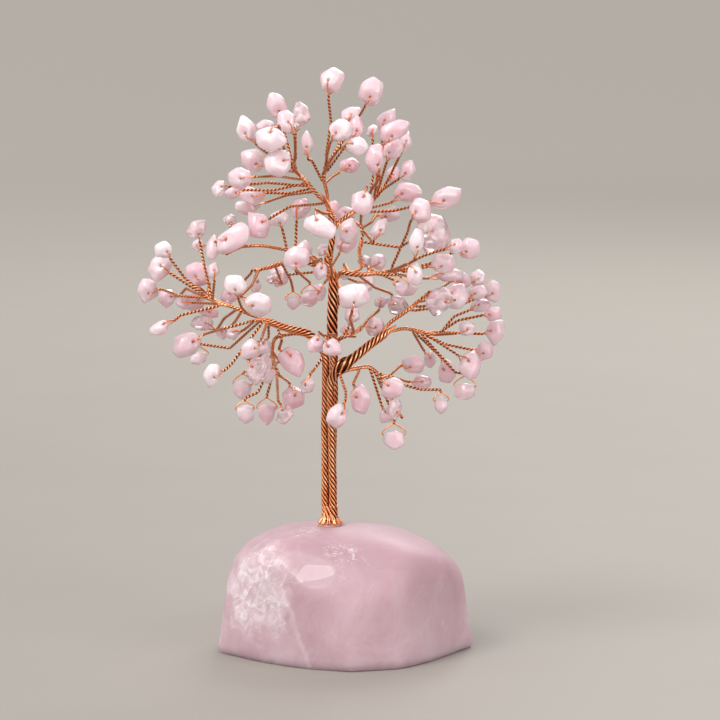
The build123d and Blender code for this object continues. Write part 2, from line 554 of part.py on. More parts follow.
# Hanging chips by name: spray, then the same row, with the turn of the wire that it hangs on
hanging_shares = {
    "hanging_chip_inner_left": ("left_inner", (
        "branch_mid_left", 0.6, (-18.5, -19.5, -24), 0.85, 0.6, 14, "egg", (-19.5, -8, -14))),
    "hanging_chip_inner_right": ("left_inner", (
        "branch_mid_left", 0.5, (-10, -17.5, -40), 1.05, 0.7, -12, "block", (-13.5, -6, -30))),
    "hanging_chip_far_left": ("lower_left", (
        "bundle_left", 0.955, (-65.5, -47.5, -30), 0.9, 0.75, 8, "egg", (-50, -42, -16))),
    "hanging_chip_low_left_outer": ("left_low", (
        "branch_left_low", 0.7, (-43.5, -63, -32), 1.15, 0.85, -16, "block", (-36, -55, -28))),
    "hanging_chip_low_left_middle": ("left_low", (
        "branch_left_low", 0.8, (-42.5, -75.5, -8), 1.15, 0.75, 10, "egg", (-36, -64, -12))),
    "hanging_chip_low_left_inner": ("left_low", (
        "branch_left_low", 0.88, (-31.5, -75.5, -26), 1.3, 0.85, -8, "block", (-30.5, -62, -24))),
    "hanging_chip_mid_right": ("mid_right", (
        "branch_mid_right", 0.62, (35.5, -12.5, 26), 0.85, 0.6, 12, "egg")),
    "hanging_chip_right_outer": ("right_outer", (
        "branch_right_outer", 0.55, (67.5, -64, -34), 1.05, 0.95, -14, "block", (62.5, -54, -28))),
    "hanging_chip_right_inner": ("right_low", (
        "branch_right_low", 0.9, (55.5, -70.5, -34), 1.0, 0.6, 10, "egg", (45, -62.5, -30))),
    "hanging_chip_lowest": ("right_low", (
        "branch_right_low", 0.7, (32, -88, 4), 1.05, 1.0, 6, "block", (32.5, -77, -18))),
}
pivots = {}
number = 0
for spray, rows in spray_shares.items():
    stones, wires = [], []
    for row in rows:
        number += 1
        stone, loop, stem = threaded_chip(number, row)
        stones.append(stone)
        wires += [loop, stem]
    for name, (home, row) in hanging_shares.items():
        if home == spray:
            number += 1
            stone, yoke, stem, pivots[name] = hanging_chip(number, row)
            wires += [yoke, stem]
            stone.label = name
            export_step(stone, f"parts/{name}.step")
    export_step(Compound(label=f"chips_{spray}", children=stones), f"parts/chips_{spray}.step")
    export_step(Compound(label=f"twigs_{spray}", children=wires), f"parts/twigs_{spray}.step")

for name, (hole, bore_axis) in pivots.items():
    print(f"{name} swings {swing} degrees each way at {hole} about {bore_axis}")
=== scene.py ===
# %% [markdown]
# # A small tree of copper wire and rose quartz chips
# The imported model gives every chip, twig, loop, branch and the base its true place and size, but as
# a plain solid with flat sides. This lesson dresses each of them: square runs become pairs of round
# wire that are twisted together, six-sided strands become ropes of wire, and the faceted chips and
# the base become tumbled and broken quartz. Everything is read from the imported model, in metres.

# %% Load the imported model
import math

import bmesh
import bpy
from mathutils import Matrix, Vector, noise


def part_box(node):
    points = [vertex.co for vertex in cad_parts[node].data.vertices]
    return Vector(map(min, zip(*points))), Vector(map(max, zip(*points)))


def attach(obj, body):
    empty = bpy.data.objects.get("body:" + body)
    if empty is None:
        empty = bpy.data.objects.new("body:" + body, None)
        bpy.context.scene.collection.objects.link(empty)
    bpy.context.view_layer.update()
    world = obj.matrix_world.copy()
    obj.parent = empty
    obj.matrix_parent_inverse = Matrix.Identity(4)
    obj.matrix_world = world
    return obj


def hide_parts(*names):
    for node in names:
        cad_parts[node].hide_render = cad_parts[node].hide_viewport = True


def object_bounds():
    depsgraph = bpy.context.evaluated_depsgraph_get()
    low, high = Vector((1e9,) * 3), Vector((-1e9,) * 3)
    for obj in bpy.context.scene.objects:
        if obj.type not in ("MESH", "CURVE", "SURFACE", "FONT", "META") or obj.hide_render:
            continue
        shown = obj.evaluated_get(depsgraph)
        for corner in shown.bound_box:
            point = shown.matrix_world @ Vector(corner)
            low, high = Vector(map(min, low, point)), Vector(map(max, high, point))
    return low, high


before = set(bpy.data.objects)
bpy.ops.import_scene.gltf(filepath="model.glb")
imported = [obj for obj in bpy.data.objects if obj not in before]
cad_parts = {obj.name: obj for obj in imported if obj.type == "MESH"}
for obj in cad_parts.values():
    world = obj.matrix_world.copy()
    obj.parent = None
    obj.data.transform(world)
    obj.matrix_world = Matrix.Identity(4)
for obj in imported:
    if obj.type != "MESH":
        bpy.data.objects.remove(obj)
packed_size = [list(corner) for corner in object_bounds()]
mm = 0.001

# %% [markdown]
# ## The camera
# A product photographer stands well back and looks slightly down. One metre away, with a long lens,
# 180 mm of the scene fill the frame at the trunk. Camera helpers would aim for us, but the direction
# is easy to build: to_track_quat turns the camera's -Z towards the point that it looks at.

# %% Place the camera
aim = Vector((7.5, 0, 74.5)) * mm
view_distance = 1000 * mm
view_tilt = math.radians(8)
view_back = Vector((0, -math.cos(view_tilt), math.sin(view_tilt)))


def new_object(name, data):
    """A new object of the scene, at the origin."""
    made = bpy.data.objects.new(name, data)
    bpy.context.scene.collection.objects.link(made)
    return made


lens = bpy.data.cameras.new("camera")
lens.sensor_width = 36
lens.lens = 200
camera = new_object("camera", lens)
camera.location = aim + view_back * view_distance
camera.rotation_euler = (-view_back).to_track_quat("-Z", "Y").to_euler()
bpy.context.scene.camera = camera
print("mm seen at the trunk:", round(view_distance * lens.sensor_width / lens.lens / mm))

# %% [markdown]
# ## Light
# Quartz only looks like stone when light goes into it, so the studio is bright and soft. One softbox
# hangs above and to the left, where the struck face of the base mirrors it. A larger one fills from
# the right, and a third stands behind, where it lights the rims of the chips. A window, far away and
# soft, makes the shadow on the floor.

# %% Open the window and hang the softboxes
daylight = bpy.data.lights.new("window", "SUN")
daylight.energy = 1.0
daylight.angle = math.radians(24)
daylight.color = (1.0, 0.98, 0.95)
daylight_way = Vector((0.5, 0.45, -0.85))
window = new_object("window", daylight)
window.rotation_euler = daylight_way.to_track_quat("-Z", "Y").to_euler()

# The place, the side in metres, the power in watts and the colour of each softbox
softboxes = {
    "key": ((-0.38, -0.52, 0.80), 0.5, 2.7, (1.0, 0.98, 0.96)),
    "fill": ((0.8, -0.6, 0.35), 0.7, 4.2, (1.0, 0.96, 0.95)),
    "rim": ((0.25, 0.7, 0.6), 0.5, 3.2, (1.0, 0.98, 0.98)),
}
for name, (place, size, power, colour) in softboxes.items():
    light = bpy.data.lights.new(name, "AREA")
    light.size = size
    light.energy = power
    light.color = colour
    lamp = new_object(name, light)
    lamp.location = place
    lamp.rotation_euler = (aim - Vector(place)).to_track_quat("-Z", "Y").to_euler()
    print("softbox", name, "gives", power, "W at", place)
bpy.context.scene.view_settings.view_transform = "Standard"

# %% [markdown]
# ## Shader sums as Python
# Node setups read badly as long lists of links. One small class wraps an output socket, so that a sum
# such as `clouds * 0.4 + tint` adds its own Math nodes. Its reflected forms let a plain number stand
# first, as in `1 - mask`.

# %% A tone: one output socket with arithmetic
class Tone:
    """An output socket of a finish, on which +, - and * add Math nodes."""

    def __init__(self, finish, socket):
        self.finish = finish
        self.socket = socket

    def sum(self, operation, first, second):
        return self.finish.add("Math", {"operation": operation}, {0: first, 1: second})

    def __add__(self, other):
        return self.sum("ADD", self, other)

    def __sub__(self, other):
        return self.sum("SUBTRACT", self, other)

    def __rsub__(self, other):
        return self.sum("SUBTRACT", other, self)

    def __mul__(self, other):
        return self.sum("MULTIPLY", self, other)

    __radd__ = __add__
    __rmul__ = __mul__


# %% [markdown]
# ## A finish
# A material and the world are both a tree of nodes, so one class makes either. Its method add takes
# any node's type, settings and inputs. The others are the few nodes that the finishes share.

# %% A finish: a material or the world in the making
class Finish:
    """A material, or the world, in the making."""

    def __init__(self, name, home=bpy.data.materials):
        self.made = home.new(name)
        self.made.use_nodes = True
        self.tree = self.made.node_tree
        self.tree.nodes.clear()

    def add(self, kind, settings=None, inputs=None, output=0):
        """Adds a node with its settings and its inputs, and returns one of its outputs."""
        node = self.tree.nodes.new("ShaderNode" + kind)
        for name, value in (settings or {}).items():
            if name == "stops":
                self.set_stops(node.color_ramp.elements, value)
            else:
                setattr(node, name, value)
        for name, value in (inputs or {}).items():
            if isinstance(name, int):
                socket = node.inputs[name]
            else:
                socket = next(s for s in node.inputs if s.name == name and s.enabled)
            if isinstance(value, Tone):
                self.tree.links.new(value.socket, socket)
            else:
                socket.default_value = value
        if isinstance(output, int):
            return Tone(self, node.outputs[output])
        return Tone(self, next(s for s in node.outputs if s.name == output and s.enabled))

    def set_stops(self, elements, stops):
        """Fills a colour ramp with (place, colour) pairs."""
        while len(elements) < len(stops):
            elements.new(1)
        for element, (place, colour) in zip(elements, stops):
            element.position = place
            element.color = colour

    def mix(self, factor, first, second):
        """A colour between two colours."""
        inputs = {"Factor": factor, "A": first, "B": second}
        return self.add("Mix", {"data_type": "RGBA"}, inputs, "Result")

    def noise(self, place, size, detail=2, rough=0.5, distortion=0):
        """Soft noise whose blobs are about this size."""
        inputs = {"Vector": place, "Scale": 1 / size, "Detail": detail, "Roughness": rough,
                  "Distortion": distortion}
        return self.add("TexNoise", None, inputs)

    def band(self, value, low, high):
        """0 below low, 1 above high, and smooth between."""
        inputs = {"Value": value, "From Min": low, "From Max": high}
        return self.add("MapRange", {"interpolation_type": "SMOOTHSTEP"}, inputs)

    def line(self, value, thin, wide):
        """1 where a value lies within thin of 0, and 0 where it is more than wide away."""
        away = self.add("Math", {"operation": "ABSOLUTE"}, {0: value})
        return 1 - self.band(away, thin, wide)

    def vector(self, operation, first, second):
        """A Vector Math node on two vectors."""
        return self.add("VectorMath", {"operation": operation}, {0: first, 1: second})

    def dot(self, place, way):
        """How far a place lies in one direction."""
        return self.add("VectorMath", {"operation": "DOT_PRODUCT"}, {0: place, 1: way}, "Value")

    def bump(self, height, depth, distance):
        """A normal bent by a height."""
        return self.add("Bump", None, {"Height": height, "Strength": depth, "Distance": distance})

    def finish(self, shader, output="OutputMaterial"):
        """Joins the shader to the output and returns what was made."""
        end = self.tree.nodes.new("ShaderNode" + output)
        self.tree.links.new(shader.socket, end.inputs["Surface"])
        print("finish", self.made.name, "has", len(self.tree.nodes), "nodes")
        return self.made


# %% [markdown]
# ## The room
# Metal shows the room round it, so an even grey room would make the wire look like plastic. This one
# is bright above the window side and falls off to a dim corner at the other, which gives each round
# wire a light side, a dark side and an edge between them.

# %% Paint the room
darkest = 0.2
window_glow = 0.9
shaded_wall = (0.86, 0.80, 0.76, 1)
lit_wall = (1.0, 0.985, 0.97, 1)
toward_window = Vector((-0.5, -0.35, 0.8)).normalized()
room = Finish("studio", bpy.data.worlds)
facing = room.dot(room.add("TexCoord", output="Generated"), toward_window)
brightness = darkest + room.band(facing, -0.55, 0.95) * window_glow
room_colour = room.mix(room.band(facing, -0.4, 0.8), shaded_wall, lit_wall)
background = room.add("Background", None, {"Color": room_colour, "Strength": brightness})
bpy.context.scene.world = room.finish(background, "OutputWorld")

# %% [markdown]
# ## Copper wire
# New copper wire is bright, with a warm orange cast and short highlights. Metallic is 1 all over.
# Slow noise moves the colour between a pale pink copper and a deeper orange. The grooves between
# twisted wires are painted dark brown as shade: every wire carries a number, depth, that says how
# deep in the twist each point lies.

# %% The copper finish
pale_copper = (1.0, 0.52, 0.28, 1)
deep_copper = (0.94, 0.31, 0.12, 1)
groove_shade_brown = (0.085, 0.02, 0.009, 1)


def copper_finish():
    """Bright copper with painted shade in the grooves of its twist."""
    copper = Finish("copper_wire")
    place = copper.add("TexCoord", output="Object")
    depth = copper.add("Attribute", {"attribute_name": "depth"}, output="Fac")
    slow = copper.noise(place, 2.6 * mm, 3)
    fine = copper.noise(place, 0.35 * mm, 2, 0.6, 0.4)
    colour = copper.mix(copper.band(slow + fine * 0.3, 0.42, 0.85), pale_copper, deep_copper)
    # Painted shade: the colour darkens to brown where the wire lies deep in its twist.
    groove_shade = copper.band(depth, 0.05, 0.25)
    shader = copper.add("BsdfPrincipled", None, {
        "Base Color": copper.mix(groove_shade * 0.97, colour, groove_shade_brown),
        "Metallic": 1.0,
        "Roughness": 0.16 + fine * 0.16 + groove_shade * 0.25,
        "Normal": copper.bump(fine, 0.1, 0.02 * mm),
    })
    return copper.finish(shader)


copper = copper_finish()

# %% [markdown]
# ## Tumbled rose quartz
# Rose quartz is milky: light enters, scatters for a few millimetres and comes out pink. Subsurface
# scattering does that, with a little transmission for the glassy depth. Some chips are almost white,
# some pink and some nearly clear, so each chip carries two numbers of its own, tint and clearness,
# and the finish reads them as attributes. Clouds and a few healed cracks vary the colour inside it.

# %% The chip finish
quartz_index = 1.54
milk_white = (0.96, 0.83, 0.86, 1)
pale_rose = (0.95, 0.70, 0.76, 1)
warm_rose = (0.93, 0.56, 0.64, 1)
deep_rose = (0.86, 0.40, 0.48, 1)
healed_crack = (0.98, 0.92, 0.92, 1)
glassy_rose = (1.0, 0.93, 0.93, 1)


def chip_finish():
    """Tumbled quartz, milky or clear by the numbers that each chip carries."""
    chip = Finish("chip_quartz")
    place = chip.add("TexCoord", output="Object")
    tint = chip.add("Attribute", {"attribute_name": "tint"}, output="Fac")
    clearness = chip.add("Attribute", {"attribute_name": "clearness"}, output="Fac")
    clouds = chip.noise(place, 3 * mm, 4, 0.6, 1.2)
    specks = chip.noise(place, 0.9 * mm, 3, 0.6)
    crack = chip.line(chip.noise(place, 4.2 * mm, 3, 0.5, 1.2) - 0.5, 0.0, 0.012)
    depth = tint + (clouds - 0.5) * 1.3 + (specks - 0.5) * 0.5
    stops = [(0.0, milk_white), (0.35, pale_rose), (0.7, warm_rose), (1.0, deep_rose)]
    colour = chip.add("ValToRGB", {"stops": stops}, {"Fac": depth}, "Color")
    colour = chip.mix(crack * 0.4, colour, healed_crack)
    ripple = chip.noise(place, 1.3 * mm, 2)
    normal = chip.bump(ripple + crack * 0.2, 0.12, 0.1 * mm)
    milky = chip.add("BsdfPrincipled", None, {
        "Base Color": colour,
        "Roughness": 0.09 + specks * 0.12,
        "IOR": quartz_index,
        "Subsurface Weight": 0.85,
        "Subsurface Radius": (1.0, 0.7, 0.72),
        "Subsurface Scale": 3.2 * mm,
        "Transmission Weight": 0.12,
        "Coat Weight": 0.45,
        "Coat Roughness": 0.04,
        "Sheen Weight": 0.15,
        "Sheen Roughness": 0.3,
        "Normal": normal,
    })
    clear = chip.add("BsdfPrincipled", None, {
        "Base Color": chip.mix(0.6, colour, glassy_rose),
        "Roughness": 0.05 + specks * 0.1,
        "IOR": quartz_index,
        "Transmission Weight": 0.9,
        "Normal": normal,
    })
    veil = chip.band(clouds, 0.35, 0.7)
    see_through = clearness * (1 - veil * 0.8)
    return chip.finish(chip.add("MixShader", None, {0: see_through, 1: milky, 2: clear}))


chip_quartz = chip_finish()

# %% [markdown]
# ## The places on the base
# The base is the same stone, but broken instead of tumbled. The upper left of its front is bruised: a
# crushed, icy skin that looks white, with some glints painted into it. Two spots near the top carry
# painted glints, one small face has been struck off flat, and a seam comes down the front, left of
# the middle. A mask for each place, which is 1 there and 0 elsewhere, blends them.

# %% Masks for the bruise, the glint spots, the struck face and the seam
bruise_middle = Vector((-18.5, -11, 18.5)) * mm
bruise_reach = Vector((11, 12, 12)) * mm
left_glint_spot = Vector((-7, -5, 31.5)) * mm
front_glint_spot = Vector((3, -15, 28)) * mm
glint_spot_reach = Vector((4.5, 4.5, 3.5)) * mm
struck_middle = Vector((-4.0, -18.0, 23.8)) * mm
struck_facing = Vector((-0.15, -0.82, 0.55)).normalized()
struck_across = Vector((0, 0, 1)).cross(struck_facing).normalized()
struck_up = struck_facing.cross(struck_across)
# The way that each side of the struck face looks, across and up, and how far out it lies in mm
struck_sides = [
    (0.0, 1.0, 2.35),
    (-0.83, 0.56, 3.3),
    (1.0, 0.0, 5.25),
    (0.42, -0.91, 2.46),
    (0.2, -0.98, 2.08),
    (-0.25, -0.97, 3.5),
]


def struck_mask(base, place):
    """1 on the face that was struck off, whose six sides are straight."""
    offset = base.vector("SUBTRACT", place, struck_middle)
    inside = 1 - base.band(base.dot(offset, -struck_facing), 0.7 * mm, 0.8 * mm)
    for across, up, far in struck_sides:
        way = struck_across * across + struck_up * up
        inside = inside * (1 - base.band(base.dot(offset, way), (far - 0.1) * mm, (far + 0.1) * mm))
    return inside


def spot_mask(base, place, middle, reach):
    """1 in the middle of a ragged spot and 0 outside its reach."""
    offset = base.vector("DIVIDE", base.vector("SUBTRACT", place, middle), reach)
    far = base.add("VectorMath", {"operation": "LENGTH"}, {0: offset}, "Value")
    ragged = base.noise(place, 6 * mm, 4, 0.65)
    return 1 - base.band(far + (ragged - 0.5) * 1.5, 0.5, 1.2)


def seam_mask(base, place):
    """1 along the seam, which wanders down the front."""
    x, y, z = (base.add("SeparateXYZ", None, {0: place}, axis) for axis in "XYZ")
    wander = base.noise(place, 9 * mm, 3, 0.6) - 0.5
    off_seam = x + z * 0.28 + 5.9 * mm + wander * 6 * mm
    on_front = 1 - base.band(y, -14 * mm, -9 * mm)
    below_top = 1 - base.band(z, 18 * mm, 23 * mm)
    return base.line(off_seam, 0.1 * mm, 0.9 * mm) * on_front * below_top


print("sides of the struck face:", len(struck_sides))

# %% [markdown]
# ## Strokes and crushed edges
# Noise that is squeezed across one direction draws strokes along it. A Voronoi texture gives the
# distance to the edge between two grains, and noise bends it, because straight edges would look cut.

# %% Strokes and a net of edges
stroke_squeeze = 7


def strokes(base, place, way, size, low):
    """Strokes that all run one way: noise that is drawn out along it."""
    across = way.orthogonal().normalized()
    parts = [base.dot(place, way)]
    for side in (across, way.cross(across)):
        parts.append(base.dot(place, side) * stroke_squeeze)
    drawn = base.add("CombineXYZ", None, dict(enumerate(parts)))
    return base.band(base.noise(drawn, size, 1, 0.4), low, low + 0.1)


def crushed_edges(base, place, size, width):
    """A net of fine lines, as between the grains of crushed ice."""
    swirl = base.add("TexNoise", None, {"Vector": place, "Scale": 1 / size}, "Color")
    shift = base.add("VectorMath", {"operation": "SCALE"}, {0: swirl, "Scale": size * 0.6})
    inputs = {"Vector": base.vector("ADD", place, shift), "Scale": 1 / size}
    cells = base.add("TexVoronoi", {"feature": "DISTANCE_TO_EDGE"}, inputs)
    return 1 - base.band(cells, 0.0, width)


# %% [markdown]
# ## The block of rose quartz
# The colour runs in white clouds with thin healed cracks. Painted shade makes it a little darker
# towards the top, where more light falls. Strokes and nets frost the bruise and raise its skin and
# that of the glint spots; the white strokes there are partly painted glints. The struck face is
# smoother than the rest, so it catches the light.

# %% The base finish
cloud_white = (0.62, 0.49, 0.54, 1)
cloud_rose = (0.56, 0.40, 0.45, 1)
block_rose = (0.50, 0.325, 0.375, 1)
block_deep = (0.42, 0.24, 0.29, 1)
top_painted_shade = (0.37, 0.23, 0.27, 1)
frost_and_glints = (0.90, 0.82, 0.87, 1)
healed_line = (0.90, 0.80, 0.84, 1)
slant_way = Vector((0.42, -0.1, 0.9)).normalized()
crossing_way = Vector((0.7, -0.5, 0.5)).normalized()


def base_finish():
    """Broken quartz, with a bruise, two spots of painted glints, a seam and a struck face."""
    base = Finish("base_quartz")
    place = base.add("TexCoord", output="Object")
    intact = 1 - struck_mask(base, place)
    bruise = spot_mask(base, place, bruise_middle, bruise_reach) * intact
    glint_spots = [spot_mask(base, place, middle, glint_spot_reach) for middle in (left_glint_spot, front_glint_spot)]
    glint_spots = (glint_spots[0] + glint_spots[1]) * intact
    seam = seam_mask(base, place)
    clouds = base.noise(place, 15 * mm, 5, 0.62, 1.0)
    wisps = base.noise(place, 5 * mm, 4, 0.6, 2.0)
    crack = base.line(base.noise(place, 22 * mm, 4, 0.55, 1.5) - 0.52, 0.0, 0.006)
    depth = 0.42 - (clouds - 0.5) * 1.2 - (wisps - 0.5) * 0.3
    stops = [(0.0, cloud_white), (0.3, cloud_rose), (0.6, block_rose), (1.0, block_deep)]
    colour = base.add("ValToRGB", {"stops": stops}, {"Fac": depth}, "Color")
    height = base.add("SeparateXYZ", None, {0: place}, "Z")
    # Painted shade: the colour is darkened towards the top, where more light falls.
    colour = base.mix(base.band(height, 6 * mm, 33 * mm) * 0.6, colour, top_painted_shade)
    slanting = strokes(base, place, slant_way, 6 * mm, 0.58)
    crossing = strokes(base, place, crossing_way, 7 * mm, 0.6)
    net = crushed_edges(base, place, 2.8 * mm, 0.07) * base.band(wisps, 0.4, 0.65)
    glint_strokes = slanting + crossing * 0.6 + net * 0.5
    # Painted glints: part of the white of the strokes, in the bruise and on the glint spots, stands
    # for glints.
    icy_and_glints = bruise * (0.3 + glint_strokes * 0.24 + base.band(wisps, 0.35, 0.75) * 0.45)
    icy_and_glints = icy_and_glints + glint_spots * (slanting + crossing + base.band(wisps, 0.45, 0.75)) * 0.3
    colour = base.mix(icy_and_glints, colour, frost_and_glints)
    colour = base.mix(crack * intact * 0.14 + seam * wisps * 0.36, colour, healed_line)
    grain = base.noise(place, 0.7 * mm, 3, 0.6)
    raised = base.noise(place, 5 * mm, 3) * 0.3 + grain * (0.02 + bruise * 0.12)
    raised = raised + glint_strokes * (bruise + glint_spots) * 0.8 + seam * 0.2
    shader = base.add("BsdfPrincipled", None, {
        "Base Color": colour,
        "Roughness": 0.26 + intact * 0.22 - bruise * 0.18 - glint_spots * 0.15 + grain * 0.08,
        "Coat Weight": bruise * 0.2,
        "Coat Roughness": 0.08,
        "IOR": quartz_index,
        "Subsurface Weight": 0.85,
        "Subsurface Radius": (1.0, 0.65, 0.65),
        "Subsurface Scale": 11 * mm,
        "Normal": base.bump(raised * intact, 0.6, 0.5 * mm),
    })
    return base.finish(shader)


base_quartz = base_finish()

# %% [markdown]
# ## Adhesive
# A bead of clear adhesive holds the trunk. It is glossy, a little cloudy, and takes the colour of the
# copper and the stone round it.

# %% The adhesive finish
amber_glue = (0.80, 0.48, 0.42, 1)
brown_glue = (0.62, 0.30, 0.24, 1)


def adhesive_finish():
    """Glossy, cloudy adhesive that has taken on the copper's colour."""
    glue = Finish("clear_adhesive")
    place = glue.add("TexCoord", output="Object")
    cloudy = glue.noise(place, 0.8 * mm, 3)
    shader = glue.add("BsdfPrincipled", None, {
        "Base Color": glue.mix(cloudy, amber_glue, brown_glue),
        "Roughness": 0.12 + cloudy * 0.15,
        "Transmission Weight": 0.4,
        "Subsurface Weight": 0.3,
        "Subsurface Scale": 0.8 * mm,
        "Normal": glue.bump(cloudy, 0.3, 0.1 * mm),
    })
    return glue.finish(shader)


adhesive = adhesive_finish()


def cover(piece, finish):
    """Gives a piece one finish all over, and smooth shading."""
    piece.data.materials.clear()
    piece.data.materials.append(finish)
    piece.data.shade_smooth()


# %% [markdown]
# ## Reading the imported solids
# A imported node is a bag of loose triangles. On a copy, remove_doubles joins them at their corners,
# and the corners that hang together are one solid. A node such as a spray's chips holds many of them.

# %% Copy a node and take its solids apart
weld_distance = 0.0005 * mm


def merged_copy(node):
    """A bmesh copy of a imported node, with its triangles joined at their corners."""
    mesh = bmesh.new()
    mesh.from_mesh(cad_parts[node].data)
    bmesh.ops.remove_doubles(mesh, verts=mesh.verts, dist=weld_distance)
    return mesh


def solids_of(mesh):
    """The separate solids of a bmesh, each as a list of corners."""
    met, solids = set(), []
    for first in mesh.verts:
        if first in met:
            continue
        met.add(first)
        solid = [first]
        for corner in solid:
            for edge in corner.link_edges:
                other = edge.other_vert(corner)
                if other not in met:
                    met.add(other)
                    solid.append(other)
        solids.append(solid)
    return solids


# %% [markdown]
# ## The middle of a square run
# A twig is a square run with a ring of four corners at each bend. Its cut end is the smallest flat
# pair of triangles. From there every next ring is whatever the last one is joined to, and the middles
# of the rings are the route of the wire.

# %% Find the rings of a square run
flat_angle = math.radians(0.5)


def run_route(solid):
    """The middles of the rings of corners along a square run, and its width."""
    flats = [edge for corner in solid for edge in corner.link_edges
             if edge.calc_face_angle(math.pi) < flat_angle]
    end = min(flats, key=lambda edge: sum(face.calc_area() for face in edge.link_faces))
    width = math.sqrt(sum(face.calc_area() for face in end.link_faces))
    ring = {corner for face in end.link_faces for corner in face.verts}
    met, route = set(ring), []
    while ring:
        route.append(sum((corner.co for corner in ring), Vector()) / len(ring))
        ring = {edge.other_vert(corner) for corner in ring for edge in corner.link_edges} - met
        met |= ring
    return route, width


# %% [markdown]
# ## The middle of a strand
# The six-sided strands are twisted, so their sides carry corners of their own and rings don't work.
# Instead a plane walks along the strand in small steps: the edges that it cuts lie round the middle,
# and the average of the cuts is the next point. The strand's ends are its only regular hexagons, which
# show once flat neighbours are dissolved into one face.

# %% Find the two ends of a strand
def is_regular(face):
    """Whether the sides of a face are all alike, as at the cut end of a strand."""
    lengths = [edge.calc_length() for edge in face.edges]
    return max(lengths) < 1.1 * min(lengths)


def strand_ends(node, mesh):
    """Each end of a strand as its middle, its normal and its half width, with the root first."""
    flat = mesh.copy()
    bmesh.ops.dissolve_limit(flat, angle_limit=flat_angle, verts=flat.verts, edges=flat.edges)
    caps = [face for face in flat.faces if len(face.verts) == 6 and is_regular(face)]
    if node.startswith("bundle_"):
        caps.sort(key=lambda face: face.calc_center_median().z)
    else:
        caps.sort(key=lambda face: -face.calc_area())
    ends = []
    for cap in (caps[0], caps[-1]):
        middle = cap.calc_center_median()
        ends.append((middle, cap.normal.copy(), (cap.verts[0].co - middle).length))
    flat.free()
    return ends


# %% Walk a plane along a strand
walk_step = 0.8 * mm
most_steps = 400


def strand_route(node):
    """The middle of a strand from its root, with its half width as a fourth number at each point."""
    mesh = merged_copy(node)
    (middle, normal, half), (goal, _, goal_half) = strand_ends(node, mesh)
    heading = -normal
    route = [Vector((*middle, half))]
    while (goal - middle).length > 1.5 * walk_step and len(route) < most_steps:
        ahead = middle + heading * walk_step
        cuts = []
        for edge in mesh.edges:
            a, b = (corner.co for corner in edge.verts)
            before, after = (a - ahead).dot(heading), (b - ahead).dot(heading)
            if before * after < 0:
                cut = a.lerp(b, before / (before - after))
                if (cut - ahead).length < 2 * half:
                    cuts.append(cut)
        ahead = sum(cuts, Vector()) / len(cuts)
        half = max((cut - ahead).length for cut in cuts)
        heading = (ahead - middle).normalized()
        middle = ahead
        route.append(Vector((*middle, half)))
    route.append(Vector((*goal, goal_half)))
    mesh.free()
    return route


# %% [markdown]
# ## Laying wire along a route
# Wire bends in smooth curves, so a route is first divided evenly and then relaxed: each point moves
# towards the middle of its neighbours a few times. A wire that winds round the route needs a side
# direction that doesn't spin by itself, so a side is carried along and only turned as far as the
# route turns.

# %% Helpers for routes
def evenly(route, step):
    """The same route with points at even distances."""
    points, carried = [route[0]], 0.0
    for a, b in zip(route, route[1:]):
        length = (b - a).length
        travelled = step - carried
        while travelled <= length:
            points.append(a.lerp(b, travelled / length))
            travelled += step
        carried = length - (travelled - step)
    if (points[-1] - route[-1]).length > 0.3 * step:
        points.append(route[-1])
    else:
        points[-1] = route[-1]
    return points


def relaxed(points, rounds):
    """The points drawn towards their neighbours, with both ends left in place."""
    for _ in range(rounds):
        inner = [(a + b * 2 + c) / 4 for a, b, c in zip(points, points[1:], points[2:])]
        points = [points[0]] + inner + [points[-1]]
    return points


def carried_sides(points, side):
    """A side direction at each point, carried along the route from the first one."""
    sides = []
    for i in range(len(points)):
        ahead = (points[min(i + 1, len(points) - 1)] - points[max(i - 1, 0)]).normalized()
        side = (side - ahead * side.dot(ahead)).normalized()
        sides.append((side, ahead.cross(side)))
    return sides


def wound(points, sides, radii, angles, phase):
    """A wire that winds round the route, left-handed, by these angles."""
    wire = []
    for point, (side, across), radius, angle in zip(points, sides, radii, angles):
        turn = phase - angle
        wire.append(point + (side * math.cos(turn) + across * math.sin(turn)) * radius)
    return wire


# %% [markdown]
# ## From routes to round wire
# A curve with a bevel is the natural way to make wire: one spline per wire and a round section. The
# curve is turned into a mesh at once, so that every wire of a spray is one piece to export, and the
# ends of its tubes are closed there. A bevel of resolution n has 2 n + 4 corners round the wire.

# %% Make round wires
wire_width = 0.35 * mm
ring_corners = 8


def tube_mesh(name, wires):
    """The wires as one mesh of round tubes with closed ends."""
    curve = bpy.data.curves.new(name, "CURVE")
    curve.dimensions = "3D"
    curve.bevel_depth = wire_width / 2
    curve.bevel_resolution = ring_corners // 2 - 2
    for route, halves, _ in wires:
        spline = curve.splines.new("POLY")
        spline.points.add(len(route) - 1)
        for i, point in enumerate(route):
            spline.points[i].co = (*point, 1)
            spline.points[i].radius = halves[i] / (wire_width / 2)
    holder = bpy.data.objects.new(name + "_curve", curve)
    data = bpy.data.meshes.new_from_object(holder)
    bpy.data.objects.remove(holder)
    bpy.data.curves.remove(curve)
    closed = bmesh.new()
    closed.from_mesh(data)
    bmesh.ops.holes_fill(closed, edges=[edge for edge in closed.edges if edge.is_boundary])
    closed.to_mesh(data)
    closed.free()
    return data


